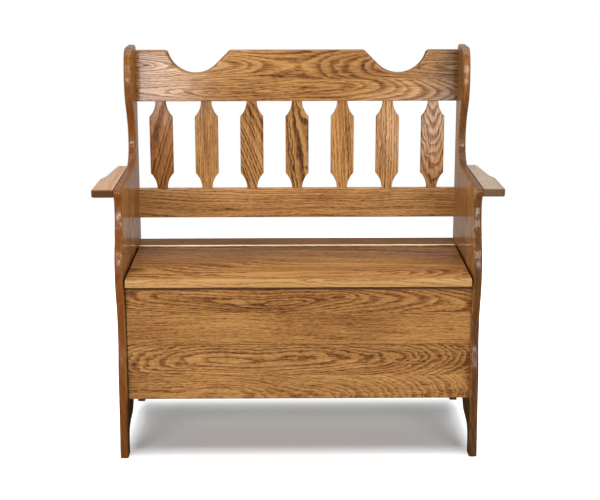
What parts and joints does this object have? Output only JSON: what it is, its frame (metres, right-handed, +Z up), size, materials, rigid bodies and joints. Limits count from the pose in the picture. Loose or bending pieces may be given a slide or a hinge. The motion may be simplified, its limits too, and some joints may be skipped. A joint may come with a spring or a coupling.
{
  "type": "storage settle bench",
  "caption": "Wooden storage settle with scalloped side panels, arms, slatted back, scooped crest rail and a seat lid hinged over a closed box.",
  "frame": {"origin": "on the floor, in the middle of the width and of the depth", "axes": "+X along the seat, to the right of someone who faces the front of the bench, -Y is the front, +Z is up"},
  "size_m": [0.9946, 0.444, 0.986],
  "materials": {
    "stained_oak": "satin lacquer over a medium stain",
    "inner_wood": "planed, lightly stained",
    "oak_plywood": "oak-faced plywood",
    "beech_dowel": "bare",
    "hinge_brass": "plated, polished",
    "brass_screw": "plated",
    "screw_steel": "zinc plated"
  },
  "bodies": {
    "frame": {"arm_dowels": "beech_dowel", "arm_left": "stained_oak", "arm_right": "stained_oak", "back_panel": "oak_plywood", "back_panel_screws": "screw_steel", "block_screws": "screw_steel", "bottom_cleat_back": "inner_wood", "bottom_cleat_front": "inner_wood", "bottom_cleat_left": "inner_wood", "bottom_cleat_right": "inner_wood", "bottom_panel": "oak_plywood", "cleat_screws": "screw_steel", "corner_block_back_left": "inner_wood", "corner_block_back_right": "inner_wood", "corner_block_front_left": "inner_wood", "corner_block_front_right": "inner_wood", "crest_rail": "stained_oak", "crest_rail_dowels": "beech_dowel", "front_board_dowels": "beech_dowel", "front_board_lower": "stained_oak", "front_board_upper": "stained_oak", "hinge_leaf_fixed": "hinge_brass", "hinge_pin": "hinge_brass", "hinge_screws_fixed": "brass_screw", "lower_back_rail": "stained_oak", "lower_rail_dowels": "beech_dowel", "rear_seat_board": "stained_oak", "seat_board_dowels": "beech_dowel", "side_panel_left": "stained_oak", "side_panel_right": "stained_oak", "slat_1": "stained_oak", "slat_2": "stained_oak", "slat_3": "stained_oak", "slat_4": "stained_oak", "slat_5": "stained_oak", "slat_6": "stained_oak", "slat_7": "stained_oak"},
    "lid": {"hinge_leaf_lid": "hinge_brass", "hinge_screws_lid": "brass_screw", "lid_batten_left": "inner_wood", "lid_batten_right": "inner_wood", "lid_batten_screws": "screw_steel", "lid_panel": "stained_oak"}
  },
  "joints": [
    {"name": "lid_hinge", "type": "hinge", "parent": "frame", "child": "lid", "pos_m": [0, 0.119, 0.4624], "axis": [-1, 0, 0], "range_deg": [0, 105]}
  ]
}
